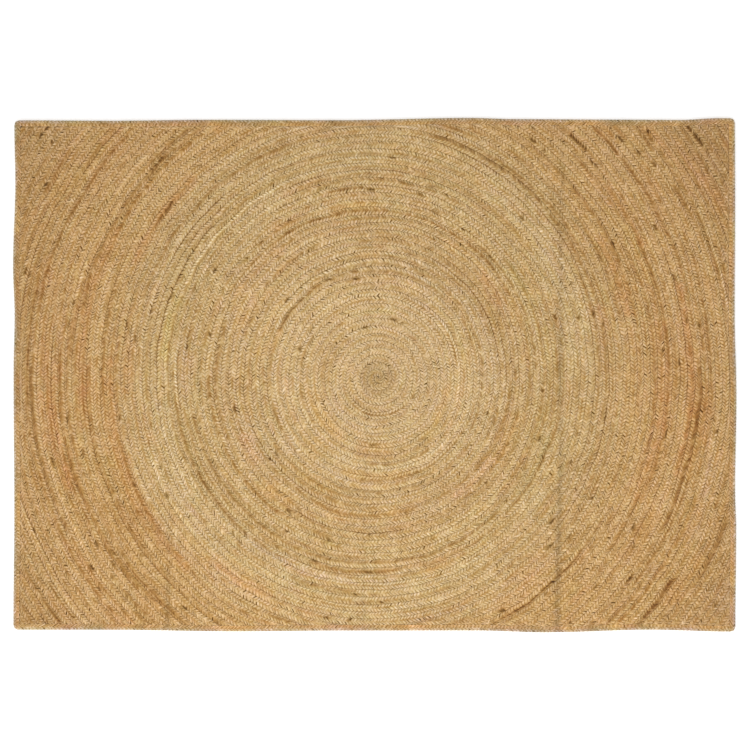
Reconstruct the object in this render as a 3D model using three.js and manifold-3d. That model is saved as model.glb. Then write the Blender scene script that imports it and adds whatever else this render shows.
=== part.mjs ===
// Rectangular jute rug: one long flat braid is wound round from the middle and sewn turn to turn,
// the panel is cut to a rectangle, and a narrower braid is sewn round the cut edge.
// Millimetres. +X runs along the rug, +Y across it, +Z up. The origin is under the rug's middle.

import * as THREE from 'three';
import { mergeVertices } from 'three/addons/utils/BufferGeometryUtils.js';
import Module from 'manifold-3d';

const wasm = await Module();
wasm.setup();

// Whole rug, between the mean lines of its edges
const LENGTH = 1700;
const WIDTH = 1205;
const CORNER_RADIUS = 12;
const TIGHTEST_CORNER = 3;

// Field braid
const BRAID_PITCH = 16.8;
const CREST_HEIGHT = 9;
const SEAM_HEIGHT = 6.2;

// Binding braid
const BINDING_WIDTH = 14;
const SEWING_GAP = 0.3;

// The winding starts a little right of and below the middle and drifts left as it grows.
// Its turns are slightly taller than they are wide.
const START_CENTRE = { x: 7.5, y: -6 };
const OUTER_CENTRE = { x: -10, y: 2 };
const DRIFT = { from: 130, to: 470 };
const TURN_STRETCH = 1.015;

// A turn of the winding is drawn with straight steps that bow by no more than this
const STEP_BOW = 1.3;
const STEPS_AT_LEAST = 12;
const SPARE_TURNS = 2;

// How far each edge bulges out, at places along +X on the long sides and along +Y on the short ones
const EDGE_WAVES = {
  bottom: [
    { at: -840, out: -2.4 },
    { at: -620, out: -2.2 },
    { at: -330, out: 1.4 },
    { at: -60, out: -0.4 },
    { at: 240, out: -0.6 },
    { at: 400, out: 3.8 },
    { at: 650, out: -2.4 },
    { at: 840, out: 2 },
  ],
  right: [
    { at: -590, out: 0.2 },
    { at: -370, out: 2 },
    { at: -270, out: -0.6 },
    { at: -50, out: 2.6 },
    { at: 150, out: -1.6 },
    { at: 400, out: -0.4 },
    { at: 590, out: -1.2 },
  ],
  top: [
    { at: -840, out: -1.6 },
    { at: -620, out: -2.6 },
    { at: -400, out: -0.4 },
    { at: -90, out: -1.2 },
    { at: 230, out: 4.2 },
    { at: 330, out: 1.2 },
    { at: 590, out: 0 },
    { at: 720, out: -0.8 },
    { at: 810, out: 3.6 },
  ],
  left: [
    { at: -590, out: 1.6 },
    { at: -330, out: -0.6 },
    { at: 0, out: 1.2 },
    { at: 140, out: -1.2 },
    { at: 260, out: 2.4 },
    { at: 455, out: -3 },
    { at: 590, out: -0.6 },
  ],
};
const EDGE_STEP = 62;
const CORNER_STEPS = 4;

// Where the rug was folded for storage, from its lower edge to its upper edge.
// x is the line of the fold, depth how far the trough goes below a crest.
const FOLDS = {
  right: [
    { y: -640, x: 430, depth: 3.4, half: 8 },
    { y: -300, x: 432, depth: 2.6, half: 7 },
    { y: 50, x: 438, depth: 3.2, half: 8 },
    { y: 320, x: 440, depth: 2, half: 6 },
    { y: 640, x: 440, depth: 1.6, half: 5 },
  ],
  middle: [
    { y: -640, x: -28, depth: 1.6, half: 5 },
    { y: -120, x: -20, depth: 1, half: 4 },
    { y: 250, x: -6, depth: 1, half: 4 },
    { y: 640, x: -12, depth: 1.5, half: 5 },
  ],
  left: [
    { y: -640, x: -494, depth: 2.6, half: 7 },
    { y: -300, x: -490, depth: 2.2, half: 6 },
    { y: 60, x: -484, depth: 1, half: 4 },
    { y: 640, x: -482, depth: 1.4, half: 5 },
  ],
};

// How far a cutting shape reaches past what it cuts, and how near two points are one
const OVERCUT = 1;
const WELD = 1e-4;

// Section of the binding braid: in from the rug's edge, and up from its underside
const BINDING_SECTION = [
  { inward: 0.8, up: 0 },
  { inward: BINDING_WIDTH - 0.6, up: 0 },
  { inward: BINDING_WIDTH, up: 2.4 },
  { inward: BINDING_WIDTH, up: 6.4 },
  { inward: 11.6, up: 9 },
  { inward: 7.4, up: 9.6 },
  { inward: 3, up: 8.8 },
  { inward: 0.2, up: 6 },
  { inward: 0, up: 2.4 },
];

const jute = (name, color, roughness) =>
  new THREE.MeshStandardMaterial({ name, color, roughness, metalness: 0 });
const FIELD_JUTE = jute('field jute', 0xbf9c6b, 0.92);
const BINDING_JUTE = jute('binding jute', 0xc49b66, 0.9);

// Height of a smooth curve through a side's wave table
function waveAt(waves, at) {
  const next = waves.findIndex((row) => row.at >= at);
  if (next <= 0) return waves[next === 0 ? 0 : waves.length - 1].out;
  const [low, high] = [waves[next - 1], waves[next]];
  const share = THREE.MathUtils.smoothstep(at, low.at, high.at);
  return THREE.MathUtils.lerp(low.out, high.out, share);
}

// Outline of the rug, anticlockwise, moved in by a distance. Every inset has the same points in order.
function outline(inset) {
  const radius = Math.max(CORNER_RADIUS - inset, TIGHTEST_CORNER);
  const sides = [
    { waves: EDGE_WAVES.bottom, run: LENGTH, away: WIDTH / 2, turn: 0 },
    { waves: EDGE_WAVES.right, run: WIDTH, away: LENGTH / 2, turn: 1 },
    { waves: EDGE_WAVES.top, run: LENGTH, away: WIDTH / 2, turn: 2 },
    { waves: EDGE_WAVES.left, run: WIDTH, away: LENGTH / 2, turn: 3 },
  ];
  const points = [];
  for (const { waves, run, away, turn } of sides) {
    const angle = turn * Math.PI / 2;
    // along the side's own direction of travel, and out from it
    const place = (along, out) => {
      const flip = turn > 1 ? -1 : 1;
      const bulge = waveAt(waves, along * flip);
      return new THREE.Vector2(along, -(out + bulge)).rotateAround(new THREE.Vector2(), angle);
    };
    const half = run / 2 - inset - radius;
    const steps = Math.round(run / EDGE_STEP);
    for (let i = 0; i <= steps; i++) {
      points.push(place(THREE.MathUtils.lerp(-half, half, i / steps), away - inset));
    }
    for (let i = 1; i < CORNER_STEPS; i++) {
      const bend = i / CORNER_STEPS * Math.PI / 2;
      points.push(place(half + radius * Math.sin(bend), away - inset - radius * (1 - Math.cos(bend))));
    }
  }
  return points;
}

// Point of the winding at a radius and an angle
function windingPoint(radius, angle, height) {
  const drift = THREE.MathUtils.smoothstep(radius, DRIFT.from, DRIFT.to);
  const x = THREE.MathUtils.lerp(START_CENTRE.x, OUTER_CENTRE.x, drift);
  const y = THREE.MathUtils.lerp(START_CENTRE.y, OUTER_CENTRE.y, drift);
  return [
    x + radius / TURN_STRETCH * Math.cos(angle),
    y + radius * TURN_STRETCH * Math.sin(angle),
    height,
  ];
}

// Closed mesh from corner points and triangles
function meshGeometry(points, triangles) {
  const geometry = new THREE.BufferGeometry();
  geometry.setAttribute('position', new THREE.Float32BufferAttribute(points.flat(), 3));
  geometry.setIndex(triangles.flat());
  return geometry;
}

// Round slab whose upper face is the wound braid: seam lines low, crest lines high.
// Each line is a spiral that gains one pitch a turn, the crests half a pitch out from the seams.
function woundSlab() {
  const turns = Math.ceil(Math.hypot(LENGTH, WIDTH) / 2 / BRAID_PITCH) + SPARE_TURNS;
  const points = [];
  const triangles = [];
  const lines = { seam: [], crest: [] };

  const addLine = (turn, kind) => {
    const height = kind === 'seam' ? SEAM_HEIGHT : CREST_HEIGHT;
    const lead = kind === 'seam' ? 0 : 0.5;
    const radius = Math.max(turn + lead + 0.5, 1) * BRAID_PITCH;
    const bowed = Math.acos(1 - STEP_BOW / radius);
    const steps = Math.max(Math.ceil(Math.PI / bowed), STEPS_AT_LEAST);
    const before = lines[kind][turn - 1];
    const line = before ? [before[before.length - 1]] : [];
    for (let i = line.length; i <= steps; i++) {
      const part = i / steps;
      points.push(windingPoint((turn + lead + part) * BRAID_PITCH, part * 2 * Math.PI, height));
      line.push(points.length - 1);
    }
    lines[kind].push(line);
  };
  for (let turn = 0; turn <= turns; turn++) {
    addLine(turn, 'seam');
    if (turn < turns) addLine(turn, 'crest');
  }

  // Strip of triangles between an inner and an outer line, each with its own number of steps
  const strip = (inner, outer) => {
    let i = 0;
    let o = 0;
    while (i < inner.length - 1 || o < outer.length - 1) {
      const innerNext = (i + 1) / (inner.length - 1);
      const outerNext = (o + 1) / (outer.length - 1);
      if (o === outer.length - 1 || (i < inner.length - 1 && innerNext <= outerNext)) {
        triangles.push([inner[i], outer[o], inner[i + 1]]);
        i += 1;
      } else {
        triangles.push([inner[i], outer[o], outer[o + 1]]);
        o += 1;
      }
    }
  };
  for (let turn = 0; turn < turns; turn++) {
    strip(lines.seam[turn], lines.crest[turn]);
    strip(lines.crest[turn], lines.seam[turn + 1]);
  }

  // The first turn closes on a raised middle, where the braid's cut end stands
  const first = lines.seam[0];
  points[first[0]][2] = CREST_HEIGHT;
  for (let i = 1; i < first.length - 1; i++) triangles.push([first[0], first[i], first[i + 1]]);
  triangles.push([first[0], first[first.length - 1], lines.crest[0][0]]);

  // Side wall down from the last turn, and the flat underside
  const last = lines.crest[turns - 1];
  const rim = [...lines.seam[turns], last[last.length - 1]];
  const foot = rim.map((index) => {
    const [x, y] = points[index];
    points.push([x, y, 0]);
    return points.length - 1;
  });
  rim.forEach((top, i) => {
    const next = (i + 1) % rim.length;
    triangles.push([top, foot[i], foot[next]], [top, foot[next], rim[next]]);
  });
  const flat = foot.map((index) => new THREE.Vector2(points[index][0], points[index][1]));
  for (const [a, b, c] of THREE.ShapeUtils.triangulateShape(flat, [])) {
    triangles.push([foot[a], foot[c], foot[b]]);
  }
  return meshGeometry(points, triangles);
}

// Wedge that presses one fold line into the upper face
function foldWedge(rows) {
  const above = CREST_HEIGHT + OVERCUT;
  const points = rows.flatMap(({ y, x, depth, half }) => {
    const flare = half * (depth + OVERCUT) / depth;
    return [[x, y, CREST_HEIGHT - depth], [x + flare, y, above], [x - flare, y, above]];
  });
  const triangles = [[0, 1, 2]];
  for (let row = 0; row < rows.length - 1; row++) {
    for (let corner = 0; corner < 3; corner++) {
      const a = 3 * row + corner;
      const b = 3 * row + (corner + 1) % 3;
      triangles.push([a, a + 3, b], [b, a + 3, b + 3]);
    }
  }
  const end = 3 * (rows.length - 1);
  triangles.push([end, end + 2, end + 1]);
  return meshGeometry(points, triangles);
}

function toManifold(geometry) {
  const bare = geometry.clone();
  bare.deleteAttribute('normal');
  bare.deleteAttribute('uv');
  const merged = mergeVertices(bare, WELD);
  return new wasm.Manifold(new wasm.Mesh({
    numProp: 3,
    vertProperties: new Float32Array(merged.attributes.position.array),
    triVerts: new Uint32Array(merged.index.array),
  }));
}

function fromManifold(solid) {
  const { vertProperties, triVerts } = solid.getMesh();
  const geometry = new THREE.BufferGeometry();
  geometry.setAttribute('position', new THREE.BufferAttribute(vertProperties, 3));
  geometry.setIndex(new THREE.BufferAttribute(triVerts, 1));
  geometry.computeVertexNormals();
  return geometry;
}

// Wound panel cut to the rectangle inside the binding, with its fold troughs
function makeField() {
  const depth = CREST_HEIGHT + 2 * OVERCUT;
  const shape = new THREE.Shape(outline(BINDING_WIDTH + SEWING_GAP));
  const block = new THREE.ExtrudeGeometry(shape, { depth, bevelEnabled: false });
  block.translate(0, 0, -OVERCUT);
  let panel = toManifold(woundSlab()).intersect(toManifold(block));
  for (const rows of Object.values(FOLDS)) {
    panel = panel.subtract(toManifold(foldWedge(rows)));
  }
  const mesh = new THREE.Mesh(fromManifold(panel), FIELD_JUTE);
  mesh.name = 'field';
  return mesh;
}

// Binding braid: its section carried round the rug's outline
function makeEdgeBraid() {
  const rings = BINDING_SECTION.map(({ inward, up }) => outline(inward).map(({ x, y }) => [x, y, up]));
  const count = rings[0].length;
  const triangles = [];
  for (let ring = 0; ring < rings.length; ring++) {
    const beside = (ring + 1) % rings.length;
    for (let i = 0; i < count; i++) {
      const next = (i + 1) % count;
      const corners = [ring * count + i, ring * count + next, beside * count + next, beside * count + i];
      triangles.push([corners[0], corners[2], corners[1]], [corners[0], corners[3], corners[2]]);
    }
  }
  const geometry = meshGeometry(rings.flat(), triangles);
  geometry.computeVertexNormals();
  const mesh = new THREE.Mesh(geometry, BINDING_JUTE);
  mesh.name = 'edge_braid';
  return mesh;
}

const rug = new THREE.Group();
rug.add(makeField(), makeEdgeBraid());

export default rug;
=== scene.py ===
"""The looks of a jute rug: one long flat braid wound round from the middle, cut to a rectangle and bound.

Metres. +X runs along the rug, +Y across it, +Z up. The origin is under the rug's middle.
A braid is described by two measures: the way along it, and the place across it, from -1 to 1.
"""

import logging
import math
from dataclasses import dataclass
from enum import Enum
from typing import NamedTuple, Protocol

import bpy
import numpy as np
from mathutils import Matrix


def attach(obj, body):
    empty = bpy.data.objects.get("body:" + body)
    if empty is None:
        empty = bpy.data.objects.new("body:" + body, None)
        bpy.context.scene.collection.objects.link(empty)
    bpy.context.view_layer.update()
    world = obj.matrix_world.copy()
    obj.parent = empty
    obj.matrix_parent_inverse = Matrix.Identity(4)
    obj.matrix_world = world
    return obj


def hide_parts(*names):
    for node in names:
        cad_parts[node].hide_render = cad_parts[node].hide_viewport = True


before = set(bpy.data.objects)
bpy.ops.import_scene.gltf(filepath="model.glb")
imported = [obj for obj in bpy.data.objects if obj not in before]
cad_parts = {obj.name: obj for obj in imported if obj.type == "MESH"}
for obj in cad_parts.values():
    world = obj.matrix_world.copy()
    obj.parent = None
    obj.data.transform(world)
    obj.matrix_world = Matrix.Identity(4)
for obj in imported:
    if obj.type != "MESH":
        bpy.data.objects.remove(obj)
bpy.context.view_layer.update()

LOG = logging.getLogger("jute_rug")

MM = 0.001

# Whole rug, between the mean lines of its edges
LENGTH = 1700 * MM
WIDTH = 1205 * MM
CORNER_RADIUS = 12 * MM
TIGHTEST_CORNER = 3 * MM

# How far apart the field's turns lie, how wide the binding is, and how high a crest stands
BRAID_PITCH = 16.8 * MM
BINDING_WIDTH = 14 * MM
CREST_HEIGHT = 9 * MM

# Where the field is cut, from the rug's middle
CUT_X = LENGTH / 2 - BINDING_WIDTH
CUT_Y = WIDTH / 2 - BINDING_WIDTH

# A braid of three strands is built in steps, each as long as one strand shows. A step has four
# stations along it, and the strands of the left row lie half a step off those of the right.
STRANDS = 3
STATIONS = 4
HALF_STEP = 2

NEARLY_NONE = 1e-9
COLOUR_KEYS = ("light", "warm", "blue", "contrast")

Array = np.ndarray


def smoothstep(share: Array) -> Array:
    """Rises smoothly from 0 to 1 as the share does, and stays level outside.

    Args:
        share: Any numbers.

    Returns:
        3t^2 - 2t^3, with t the share held between 0 and 1.
    """
    held = np.clip(share, 0.0, 1.0)
    return held * held * (3.0 - 2.0 * held)


class Side(Enum):
    """The rug's four sides, as seen from above."""

    BOTTOM = "bottom"
    RIGHT = "right"
    TOP = "top"
    LEFT = "left"


@dataclass(frozen=True)
class EdgeWaves:
    """How far each edge bulges out of its mean line. Rows are place along it and bulge, in mm."""

    bottom: tuple = (
        (-840, -2.4), (-620, -2.2), (-330, 1.4), (-60, -0.4),
        (240, -0.6), (400, 3.8), (650, -2.4), (840, 2.0),
    )
    right: tuple = (
        (-590, 0.2), (-370, 2.0), (-270, -0.6), (-50, 2.6), (150, -1.6), (400, -0.4), (590, -1.2),
    )
    top: tuple = (
        (-840, -1.6), (-620, -2.6), (-400, -0.4), (-90, -1.2), (230, 4.2),
        (330, 1.2), (590, 0.0), (720, -0.8), (810, 3.6),
    )
    left: tuple = (
        (-590, 1.6), (-330, -0.6), (0, 1.2), (140, -1.2), (260, 2.4), (455, -3.0), (590, -0.6),
    )
    reach: float = 150 * MM

    def bulge(self, side: Side, at: Array) -> Array:
        """Bulge of one edge, by a smooth curve through its rows.

        Args:
            side: Which edge.
            at: Places along it, in metres.

        Returns:
            How far out of the mean line the edge lies there, in metres.
        """
        rows = np.array(getattr(self, side.value)) * MM
        low = np.clip(np.searchsorted(rows[:, 0], at) - 1, 0, len(rows) - 2)
        share = smoothstep((at - rows[low, 0]) / (rows[low + 1, 0] - rows[low, 0]))
        return rows[low, 1] + (rows[low + 1, 1] - rows[low, 1]) * share

    def bow(self, x: Array, y: Array) -> tuple[Array, Array]:
        """Moves points of a straight-edged rug with its wavy edges.

        A point moves by the bulge of each edge, times one less a smooth step of its distance from
        the cut edge over the reach.

        Args:
            x: Places along the rug.
            y: Places across the rug.

        Returns:
            The moved x and y.
        """
        sides = (
            (Side.BOTTOM, x, CUT_Y + y),
            (Side.TOP, x, CUT_Y - y),
            (Side.LEFT, y, CUT_X + x),
            (Side.RIGHT, y, CUT_X - x),
        )
        out = {
            side: self.bulge(side, at) * (1.0 - smoothstep(away / self.reach))
            for side, at, away in sides
        }
        return x + out[Side.RIGHT] - out[Side.LEFT], y + out[Side.TOP] - out[Side.BOTTOM]


@dataclass(frozen=True)
class FoldLines:
    """Soft troughs where the rug was folded for storage, each along a line from front to back.

    Rows are y, x, depth and half width, in mm.
    """

    right: tuple = (
        (-640, 431, 4.2, 8), (-508, 432, 4.2, 8), (-367, 434, 4.2, 7), (-225, 439, 3.0, 7),
        (-84, 440, 2.4, 7), (58, 440, 3.0, 6), (199, 440, 2.4, 9), (341, 440, 2.0, 7),
        (494, 443, 1.7, 7), (640, 444, 1.6, 7),
    )
    middle: tuple = ((-640, -28, 1.4, 5), (-120, -20, 0.9, 4), (250, -6, 1.0, 4), (640, -12, 1.5, 5))
    left: tuple = (
        (-640, -490, 2.4, 7), (-480, -487, 2.2, 7), (-350, -482, 1.2, 6), (-230, -482, 0.3, 5),
        (640, -482, 0.6, 5),
    )
    deepest: float = 4.2 * MM

    def depth(self, x: Array, y: Array) -> Array:
        """How deep the troughs are at each point: each is a bell curve across its line.

        Args:
            x: Places along the rug.
            y: Places across the rug.

        Returns:
            Depth below the unfolded face, in metres.
        """
        total = np.zeros_like(x)
        for line in (self.right, self.middle, self.left):
            rows = np.array(line, float) * MM
            at, deep, half = (np.interp(y, rows[:, 0], rows[:, column]) for column in (1, 2, 3))
            total += deep * np.exp(-(((x - at) / half) ** 2))
        return total


@dataclass(frozen=True)
class LongWaves:
    """An uneven field over the rug: a sum of sine waves of seeded lengths, headings and starts."""

    seed: int
    shortest: float
    longest: float
    count: int = 14

    def at(self, x: Array, y: Array) -> Array:
        """The field's value at each point.

        Args:
            x: Places along the rug.
            y: Places across the rug.

        Returns:
            A value with a mean of 0 and a spread of about 1.
        """
        rng = np.random.default_rng(self.seed)
        length = np.geomspace(self.shortest, self.longest, self.count)
        heading = rng.uniform(0, 2 * np.pi, self.count)
        start = rng.uniform(0, 2 * np.pi, self.count)
        total = np.zeros_like(x)
        for wave in range(self.count):
            run = x * math.cos(heading[wave]) + y * math.sin(heading[wave])
            total += np.sin(2 * np.pi * run / length[wave] + start[wave])
        return total * math.sqrt(2 / self.count)


@dataclass(frozen=True)
class OpenSeams:
    """Where the sewing has let go: only here and there, and more towards the short sides."""

    start_x: float = 0.35
    rise_over: float = 0.30
    outward: float = 0.25
    tight: float = -0.25
    uneven: float = 0.3
    waves: LongWaves = LongWaves(seed=31, shortest=30 * MM, longest=200 * MM)

    def share(self, x: Array, y: Array) -> Array:
        """How far the seams stand open at each point: a smooth step outwards, plus long waves.

        Args:
            x: Places along the rug.
            y: Places across the rug.

        Returns:
            A share from 0, tight, to 1, open.
        """
        outward = self.outward * smoothstep((np.abs(x) - self.start_x) / self.rise_over)
        return np.clip(outward + self.tight + self.uneven * self.waves.at(x, y), 0.0, 1.0)


FOLDS = FoldLines()
SEAMS = OpenSeams()
SWELL = LongWaves(seed=21, shortest=45 * MM, longest=260 * MM)


class Tint(Enum):
    """Colours of jute strands, as logarithms of three changes.

    They are changes of lightness, of red to green, and of blue to green.
    """

    PALE = (0.16, -0.04, 0.08)
    DARK = (-0.42, 0.12, -0.24)
    BLACK = (-1.45, 0.30, -0.80)
    BROWN = (-0.23, 0.08, -0.18)
    TAN = (-0.05, 0.04, -0.05)
    ORANGE = (-0.04, 0.07, -0.15)
    RED = (-0.12, 0.10, -0.08)
    SALMON = (-0.04, 0.08, 0.03)
    STRAW = (0.01, -0.01, -0.13)
    MOSS = (-0.01, -0.045, -0.03)
    LILAC = (0.03, -0.02, 0.13)


# Tints that small lines and short patches choose from. One that stands twice is chosen twice as often.
LINE_TINTS = (Tint.DARK,) * 3 + (Tint.BROWN,) + (Tint.PALE,) * 4
SPOT_TINTS = (
    *(Tint.ORANGE,) * 2, *(Tint.SALMON,) * 2, Tint.STRAW, Tint.MOSS, *(Tint.LILAC,) * 2,
    Tint.BROWN, Tint.RED,
)


class Streak(NamedTuple):
    """A streak of tinted strands.

    It starts so many turns out, runs from one angle to another, in degrees, and is so many turns
    wide.
    """

    tint: Tint
    turns: float
    start: float
    end: float
    width: float
    strength: float = 1.0


class Scatter(NamedTuple):
    """One kind of small streak: how many, in which tints, and between which bounds.

    Widths are in turns and lengths in metres. A lined one lies along a seam or a row of strands.
    """

    count: int
    tints: tuple[Tint, ...]
    widths: tuple[float, float]
    lengths: tuple[float, float]
    strongest: float
    lined: bool = False


@dataclass(frozen=True)
class StreakChart:
    """The streaks of the field: those that show most, listed one by one, and small ones at seeded places.

    A charted row's columns are how many turns out it starts, its start and end in degrees, its
    width in turns, and its strength where that isn't 1. The small ones are thin and long lines,
    patches up to a braid's width, and dark specks. Growth is how many turns out they lie and how
    strong they are there. Rows are the places within a turn of its seam, of the braid's middle and
    of its two rows of strands.
    """

    charted: tuple[tuple[Tint, tuple[tuple, ...]], ...] = (
        (Tint.STRAW, (
            (9.2, 72, 112, 0.35), (9.7, 262, 292, 0.30), (10.4, 306, 326, 0.60), (12.7, 5, 45, 0.50),
            (29.3, 158, 176, 0.90),
        )),
        (Tint.ORANGE, (
            (9.8, 188, 240, 0.45), (10.0, 322, 353, 0.45), (13.8, 248, 290, 0.45), (15.0, 28, 48, 0.40),
            (15.0, 154, 167, 0.45), (21.3, 325, 345, 1.00), (21.4, 223, 237, 1.10), (23.3, 85, 104, 0.70),
        )),
        (Tint.SALMON, ((20.2, 203, 216, 0.90), (20.3, 303, 326, 0.90), (34.0, 228, 245, 0.90))),
        (Tint.LILAC, ((28.5, 231, 266, 0.70), (34.4, 279, 293, 0.60))),
        (Tint.PALE, ((43.8, 118, 165, 0.13, 1.3),)),
        (Tint.TAN, ((34.0, -55, 38, 2.20, 0.8), (34.6, 160, 184, 1.20))),
        (Tint.RED, (
            (20.7, 27, 42, 0.80), (36.8, 132, 155, 0.70), (37.2, 176, 226, 0.90), (37.6, 12, 30, 1.10),
            (41.3, 150, 190, 0.70), (41.5, 335, 370, 1.30), (42.6, 24, 38, 0.50), (45.5, 180, 200, 0.80),
            (45.6, -18, 16, 0.60, 1.3),
        )),
        (Tint.BROWN, (
            (17.7, 228, 254, 0.90, 0.4), (18.4, 288, 326, 0.70, 0.4), (19.0, -4, 88, 0.16, 1.3),
            (19.6, 316, 356, 0.16, 1.8), (23.0, 180, 237, 0.20, 1.7), (26.3, 158, 172, 0.20, 2.0),
            (27.2, 254, 280, 0.20, 1.7), (27.4, 172, 190, 0.14, 1.3), (40.4, 178, 242, 0.23, 1.7),
            (41.0, 126, 152, 0.23, 2.0), (41.7, 324, 336, 0.23, 2.0), (44.3, 176, 222, 0.20, 1.7),
            (46.8, 333, 362, 0.20, 1.6), (49.2, 314, 340, 0.20, 2.1),
        )),
        (Tint.DARK, (
            (15.0, 100, 154, 0.14, 1.3), (22.7, 40, 123, 0.14, 1.3), (25.8, 92, 104, 0.17, 1.7),
            (33.9, 44, 76, 0.16, 1.3), (33.9, 110, 162, 0.14, 1.3), (36.7, 139, 146, 0.18, 1.4),
            (46.4, 22, 48, 0.14, 1.3), (47.8, 136, 170, 0.16, 1.3), (48.3, 178, 206, 0.16, 1.3),
            (51.5, 314, 327, 0.23, 2.1),
        )),
        (Tint.BLACK, (
            (24.4, 353, 357, 0.19), (39.6, 51, 55, 0.19), (42.0, 134, 138, 0.19),
            (43.0, 41.5, 43.5, 0.19), (43.6, 45, 50, 0.19), (56.7, 33.5, 37.5, 0.19),
        )),
    )
    small: tuple[Scatter, ...] = (
        Scatter(1600, LINE_TINTS, (0.07, 0.14), (0.04, 0.40), 1.1, lined=True),
        Scatter(280, LINE_TINTS, (0.08, 0.15), (0.4, 1.3), 0.8, lined=True),
        Scatter(900, SPOT_TINTS, (0.35, 1.00), (0.03, 0.16), 0.65),
        Scatter(420, (Tint.BLACK,), (0.12, 0.18), (0.004, 0.02), 1.2),
    )
    weakest: float = 0.3
    growth: tuple[tuple[float, float], ...] = (
        (0, 0.3), (6, 0.75), (14, 1.0), (25, 0.95), (34, 0.88), (60, 1.0),
    )
    last_turn: float = 62.0
    bare_share: float = 0.002
    widest_angle: float = 80
    rows: tuple[float, ...] = (0.0, 0.5, 0.25, 0.28, 0.72, 0.75)
    seed: int = 71

    def by_hand(self) -> list[Streak]:
        """The charted streaks, from the middle outwards."""
        found = [Streak(tint, *row) for tint, rows in self.charted for row in rows]
        return sorted(found, key=lambda streak: (streak.turns, streak.start))

    def scattered(self) -> list[Streak]:
        """The small streaks, spread evenly over the area of the turns but for a bare share in the middle.

        Returns:
            The streaks, kind by kind.
        """
        rng = np.random.default_rng(self.seed)
        turn_table, growth_table = np.array(self.growth).T
        found = []
        for kind in self.small:
            for _ in range(kind.count):
                turns = self.last_turn * math.sqrt(rng.uniform(self.bare_share, 1.0))
                start = rng.uniform(0, 360)
                if kind.lined:
                    turns = math.floor(turns) + start / 360 + self.rows[rng.integers(len(self.rows))]
                angle = math.degrees(rng.uniform(*kind.lengths) / (turns * BRAID_PITCH))
                end = start + min(angle, self.widest_angle)
                tint = kind.tints[rng.integers(len(kind.tints))]
                strength = rng.uniform(self.weakest, kind.strongest)
                strength = strength * np.interp(turns, turn_table, growth_table)
                found.append(Streak(tint, turns, start, end, rng.uniform(*kind.widths), strength))
        return found

    def all(self) -> tuple[Streak, ...]:
        """Every streak."""
        return (*self.by_hand(), *self.scattered())


@dataclass(frozen=True)
class StrandColours:
    """The colours of the field's strands: bands of turns, and streaks in them.

    A band's columns are its turn, its changes of colour, and how strongly its single strands stand
    out. Dashes are the shares of a dark line at the four stations of a strand, from dip to dip.
    """

    # Past turn 51 the turns lie only in the corners, and the bands there darken most: painted shade for
    # the light that falls off towards the corners, with the warmer colour of the outer jute.
    bands: tuple = (
        (0.0, -0.19, 0.05, -0.06, 0.85), (2.3, -0.15, 0.04, -0.03, 0.85), (2.9, 0.04, 0.01, 0.05, 0.85),
        (12.5, 0.07, 0.00, 0.05, 1.0), (15.5, 0.05, 0.00, 0.05, 1.05), (21.0, -0.02, 0.03, 0.01, 1.15),
        (24.0, 0.02, 0.01, 0.00, 1.15), (27.0, 0.00, 0.01, -0.01, 1.1), (29.5, 0.03, -0.01, 0.01, 1.05),
        (33.0, 0.00, 0.01, 0.01, 1.1), (36.1, -0.05, 0.04, -0.02, 1.15), (36.8, -0.09, 0.08, -0.09, 1.2),
        (44.0, -0.10, 0.10, -0.08, 1.2), (52.0, -0.17, 0.11, -0.10, 1.2), (60.0, -0.33, 0.13, -0.12, 1.2),
    )
    streaks: tuple[Streak, ...] = StreakChart().all()
    taper: float = 14 * MM
    chances: tuple[float, float] = (0.6, 1.4)
    dashes: tuple[float, ...] = (0.3, 1.2, 1.6, 1.2)
    speck_least: float = 0.85
    line_gain: float = 2.2
    line_loss: float = 1.2
    seed: int = 72

    def at(self, turn: Array, radius: Array) -> dict[str, Array]:
        """The change of colour at points of the braid: that of its band, and its share of each tint.

        A streak's share falls off from its middle line as a bell curve, and towards its ends as a
        smooth step.

        Args:
            turn: The turn that each station of the braid has reached, rising.
            radius: How many turns out each point lies, station by station and line by line.

        Returns:
            The logarithms of the changes, light, warm and blue, and the strands' contrast.
        """
        rng = np.random.default_rng(self.seed + len(turn))
        turn_table, *columns = np.array(self.bands).T
        found = {key: np.interp(radius, turn_table, column) for key, column in zip(COLOUR_KEYS, columns)}
        for streak in self.streaks:
            swing = (streak.end - streak.start) / 360
            spread = 2 * streak.width
            bounds = (streak.turns - 1.0 - spread, streak.turns + spread + swing)
            first, last = np.searchsorted(turn, bounds)
            if first >= last:
                continue
            near = slice(first, last)
            half = swing / 2
            middle = (streak.start + streak.end) / 2 / 360
            away = np.mod(turn[near] - middle + 0.5, 1.0) - 0.5
            soft = min(half, self.taper / (2 * math.pi * streak.turns * BRAID_PITCH))
            window = smoothstep((half + soft / 2 - np.abs(away)) / soft)
            offset = (radius[near] - streak.turns - (away + half)[:, None]) / streak.width
            broken = self.broken(streak, np.arange(first, last), rng)
            share = (window * broken)[:, None] * np.exp(-offset * offset) * streak.strength
            for key, amount in zip(COLOUR_KEYS, streak.tint.value):
                found[key][near] += amount * share
        return found

    def broken(self, streak: Streak, station: Array, rng: np.random.Generator) -> Array:
        """How much of a streak each station shows, which is a chance from strand to strand.

        A dark line is dashed, because it sinks between two strands, and weak strands leave a speck
        out.

        Args:
            streak: The streak.
            station: The stations that it may reach.
            rng: Where the chances come from.

        Returns:
            A factor for each station.
        """
        inner_row = (streak.turns - streak.start / 360) % 1.0 < 0.5
        station = station + (HALF_STEP if inner_row else 0)
        strand = station // STATIONS - station[0] // STATIONS
        chance = rng.uniform(*self.chances, strand[-1] + 1)[strand]
        dashes = np.array(self.dashes)[station % STATIONS]
        if streak.tint is Tint.BLACK:
            return np.where(chance > self.speck_least, dashes, 0.0)
        if streak.tint in (Tint.DARK, Tint.BROWN):
            return (self.line_gain * chance - self.line_loss) * dashes
        return chance


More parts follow.
